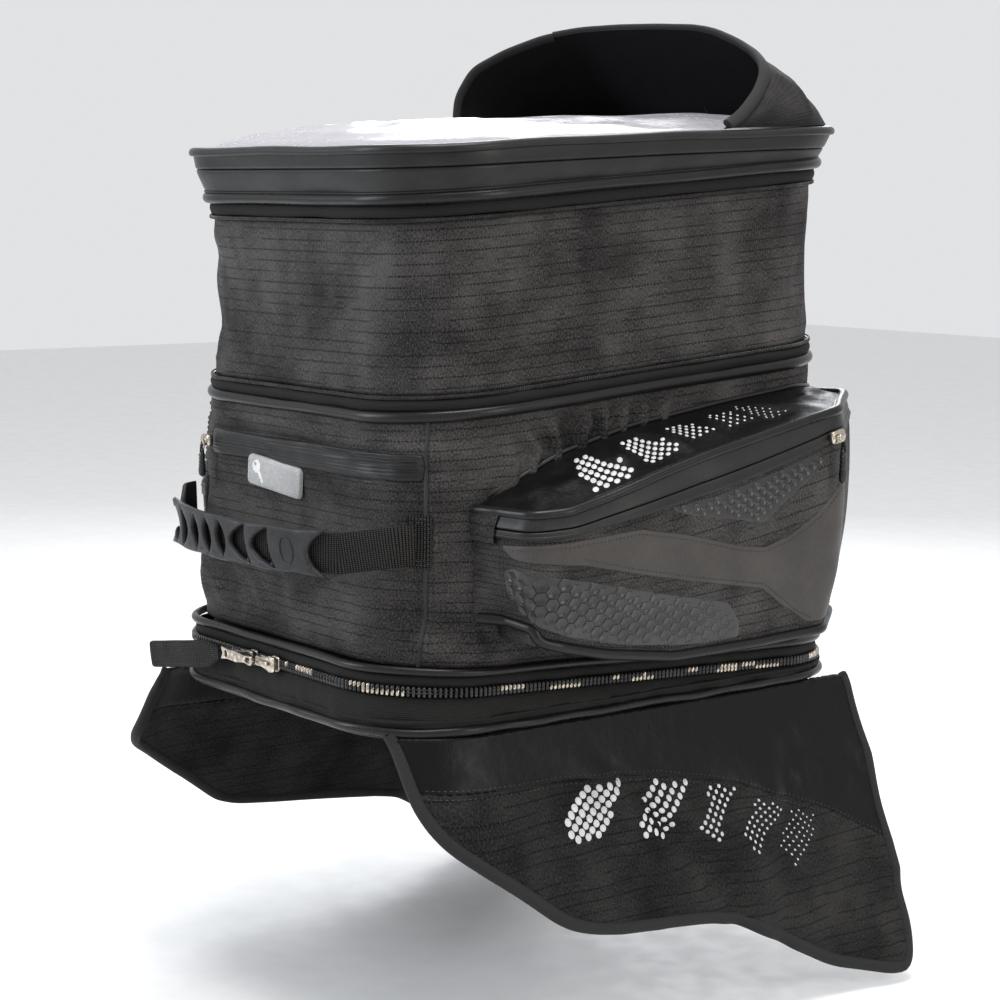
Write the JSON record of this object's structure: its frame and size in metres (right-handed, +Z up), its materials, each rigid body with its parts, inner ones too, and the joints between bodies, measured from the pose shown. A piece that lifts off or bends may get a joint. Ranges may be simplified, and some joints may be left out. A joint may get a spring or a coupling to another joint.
{
  "type": "motorcycle tank bag",
  "caption": "Expandable motorcycle tank bag with zip-off base, magnetic wings, side pockets, rear grab handle, clear map lid and folding visor.",
  "frame": {"origin": "centre of the base's underside, where the bag sits on the fuel tank", "axes": "+Z up, +Y to the front of the motorcycle, +X to the rider's right"},
  "size_m": [0.4476, 0.4362, 0.6608],
  "materials": {
    "ripstop_fabric": "matte ripstop weave with a fine heather grain",
    "satin_fabric": "satin coated nylon",
    "coated_zip": "satin coated zip tape",
    "zip_tape": "woven tape",
    "zip_coil": "glossy coil teeth",
    "piping": "satin piping",
    "binding": "stitched binding tape",
    "lining": "plain woven lining",
    "grip_rubber": "matte non-slip rubber",
    "board": "stiffening board",
    "embossed_panel": "embossed coated panel",
    "clear_film": "clear flexible film",
    "handle_rubber": "moulded soft rubber",
    "webbing": "ribbed webbing",
    "badge": "silver moulded badge",
    "zip_metal": "bright die-cast slider",
    "zip_metal_dark": "gunmetal slider",
    "pull_rubber": "gloss black pull",
    "magnet": "nickel-plated magnet"
  },
  "bodies": {
    "base": {"base_grip_sheet": "grip_rubber", "base_panel": "board", "base_edge_piping": "piping", "base_zip_tape_lower": "zip_tape", "base_zip_teeth_lower": "zip_coil"},
    "wing_right": {"wing_right_panel": "satin_fabric", "wing_right_binding": "binding", "wing_right_magnets": "magnet"},
    "wing_left": {"wing_left_panel": "satin_fabric", "wing_left_binding": "binding", "wing_left_magnets": "magnet"},
    "bag": {"base_zip_teeth_upper": "zip_coil", "base_zip_tape_upper": "zip_tape", "base_welt": "piping", "bag_wall": "ripstop_fabric", "bag_floor": "lining", "floor_stiffener": "board", "expander_piping_lower": "piping", "expander_tape_lower": "zip_tape", "expander_teeth_lower": "zip_coil", "key_pocket_zip": "coated_zip", "key_pocket_pouch": "lining", "key_pocket_badge": "badge", "handle_anchors": "satin_fabric", "pocket_right_top": "satin_fabric", "pocket_right_zip_upper": "coated_zip", "pocket_left_top": "satin_fabric", "pocket_left_zip_upper": "coated_zip"},
    "base_slider": {"base_zip_slider": "zip_metal"},
    "base_slider_second": {"base_zip_slider_second": "zip_metal_dark"},
    "base_pull": {"base_zip_puller": "zip_metal", "base_pull_tab": "satin_fabric"},
    "handle": {"handle_grip": "handle_rubber", "handle_webbing": "webbing"},
    "pocket_right": {"pocket_right_shell": "embossed_panel", "pocket_right_zip_lower": "coated_zip"},
    "pocket_left": {"pocket_left_shell": "embossed_panel", "pocket_left_zip_lower": "coated_zip"},
    "pocket_right_slider": {"pocket_right_zip_slider": "zip_metal"},
    "pocket_left_slider": {"pocket_left_zip_slider": "zip_metal"},
    "pocket_right_pull": {"pocket_right_zip_pull": "pull_rubber"},
    "pocket_left_pull": {"pocket_left_zip_pull": "pull_rubber"},
    "key_slider": {"key_zip_slider": "zip_metal"},
    "key_pull": {"key_zip_pull": "pull_rubber"},
    "expander_slider": {"expander_zip_slider": "zip_metal_dark"},
    "upper": {"expander_gusset": "ripstop_fabric", "expander_teeth_upper": "zip_coil", "expander_tape_upper": "zip_tape", "lid_base_piping": "piping", "main_zip_lower": "coated_zip"},
    "main_slider": {"main_zip_slider": "zip_metal_dark"},
    "main_pull": {"main_zip_pull": "pull_rubber"},
    "lid": {"main_zip_upper": "coated_zip", "lid_rim": "coated_zip", "lid_map_panel": "lining", "lid_lining": "lining", "lid_window": "clear_film", "visor_gusset_right": "ripstop_fabric", "visor_gusset_left": "ripstop_fabric"},
    "visor": {"visor_panel": "ripstop_fabric"}
  },
  "joints": [
    {"name": "base_unzip_lift", "type": "slide", "parent": "base", "child": "bag", "axis": [0, 0, 1], "range_m": [0, 0.12]},
    {"name": "wing_right_fold", "type": "hinge", "parent": "base", "child": "wing_right", "pos_m": [0.152, 0, -0.002], "axis": [0, -1, 0], "range_deg": [-5, 60]},
    {"name": "wing_left_fold", "type": "hinge", "parent": "base", "child": "wing_left", "pos_m": [-0.152, 0, -0.002], "axis": [0, 1, 0], "range_deg": [-5, 60]},
    {"name": "base_slider_run", "type": "slide", "parent": "bag", "child": "base_slider", "axis": [1, 0, 0], "range_m": [0, 0.055]},
    {"name": "base_slider_second_run", "type": "slide", "parent": "bag", "child": "base_slider_second", "axis": [-1, 0, 0], "range_m": [0, 0.045]},
    {"name": "base_pull_swing", "type": "hinge", "parent": "base_slider", "child": "base_pull", "pos_m": [-0.004, -0.212, 0.0331], "axis": [0, 0, 1], "range_deg": [0, 85]},
    {"name": "handle_swing", "type": "hinge", "parent": "bag", "child": "handle", "pos_m": [0, -0.174, 0.1265], "axis": [-1, 0, 0], "range_deg": [-35, 12]},
    {"name": "pocket_right_open", "type": "hinge", "parent": "bag", "child": "pocket_right", "pos_m": [0.152, 0, 0.046], "axis": [0, 1, 0], "range_deg": [0, 28]},
    {"name": "pocket_left_open", "type": "hinge", "parent": "bag", "child": "pocket_left", "pos_m": [-0.152, 0, 0.046], "axis": [0, -1, 0], "range_deg": [0, 28]},
    {"name": "pocket_right_slider_run", "type": "slide", "parent": "pocket_right", "child": "pocket_right_slider", "axis": [0, -0.9733, -0.2297], "range_m": [0, 0.15]},
    {"name": "pocket_left_slider_run", "type": "slide", "parent": "pocket_left", "child": "pocket_left_slider", "axis": [0, -0.9733, -0.2297], "range_m": [0, 0.15]},
    {"name": "pocket_right_pull_swing", "type": "hinge", "parent": "pocket_right_slider", "child": "pocket_right_pull", "pos_m": [0.2174, 0.112, 0.18076], "axis": [1, 0, 0], "range_deg": [-60, 60]},
    {"name": "pocket_left_pull_swing", "type": "hinge", "parent": "pocket_left_slider", "child": "pocket_left_pull", "pos_m": [-0.2174, 0.112, 0.18076], "axis": [1, 0, 0], "range_deg": [-60, 60]},
    {"name": "key_slider_run", "type": "slide", "parent": "bag", "child": "key_slider", "axis": [0.9982, 0, -0.0599], "range_m": [0, 0.17]},
    {"name": "key_pull_swing", "type": "hinge", "parent": "key_slider", "child": "key_pull", "pos_m": [-0.096, -0.1955, 0.1692], "axis": [0, 1, 0], "range_deg": [-40, 40]},
    {"name": "expander_slider_run", "type": "slide", "parent": "bag", "child": "expander_slider", "axis": [0, -0.9968, -0.0797], "range_m": [0, 0.12]},
    {"name": "expander_drop", "type": "slide", "parent": "bag", "child": "upper", "axis": [0, 0, 1], "range_m": [-0.104, 0], "deforming": ["expander_gusset"]},
    {"name": "main_slider_run", "type": "slide", "parent": "upper", "child": "main_slider", "axis": [0, -0.9986, -0.0529], "range_m": [0, 0.12]},
    {"name": "main_pull_swing", "type": "hinge", "parent": "main_slider", "child": "main_pull", "pos_m": [-0.1652, 0.06, 0.37028], "axis": [1, 0, 0], "range_deg": [-45, 45]},
    {"name": "lid_open", "type": "hinge", "parent": "upper", "child": "lid", "pos_m": [0, 0.1965, 0.3775], "axis": [-1, 0, 0], "range_deg": [0, 100]},
    {"name": "visor_fold", "type": "hinge", "parent": "lid", "child": "visor", "pos_m": [0, 0.191, 0.396], "axis": [1, 0, 0], "range_deg": [0, 25], "deforming": ["visor_gusset_right", "visor_gusset_left"]}
  ]
}
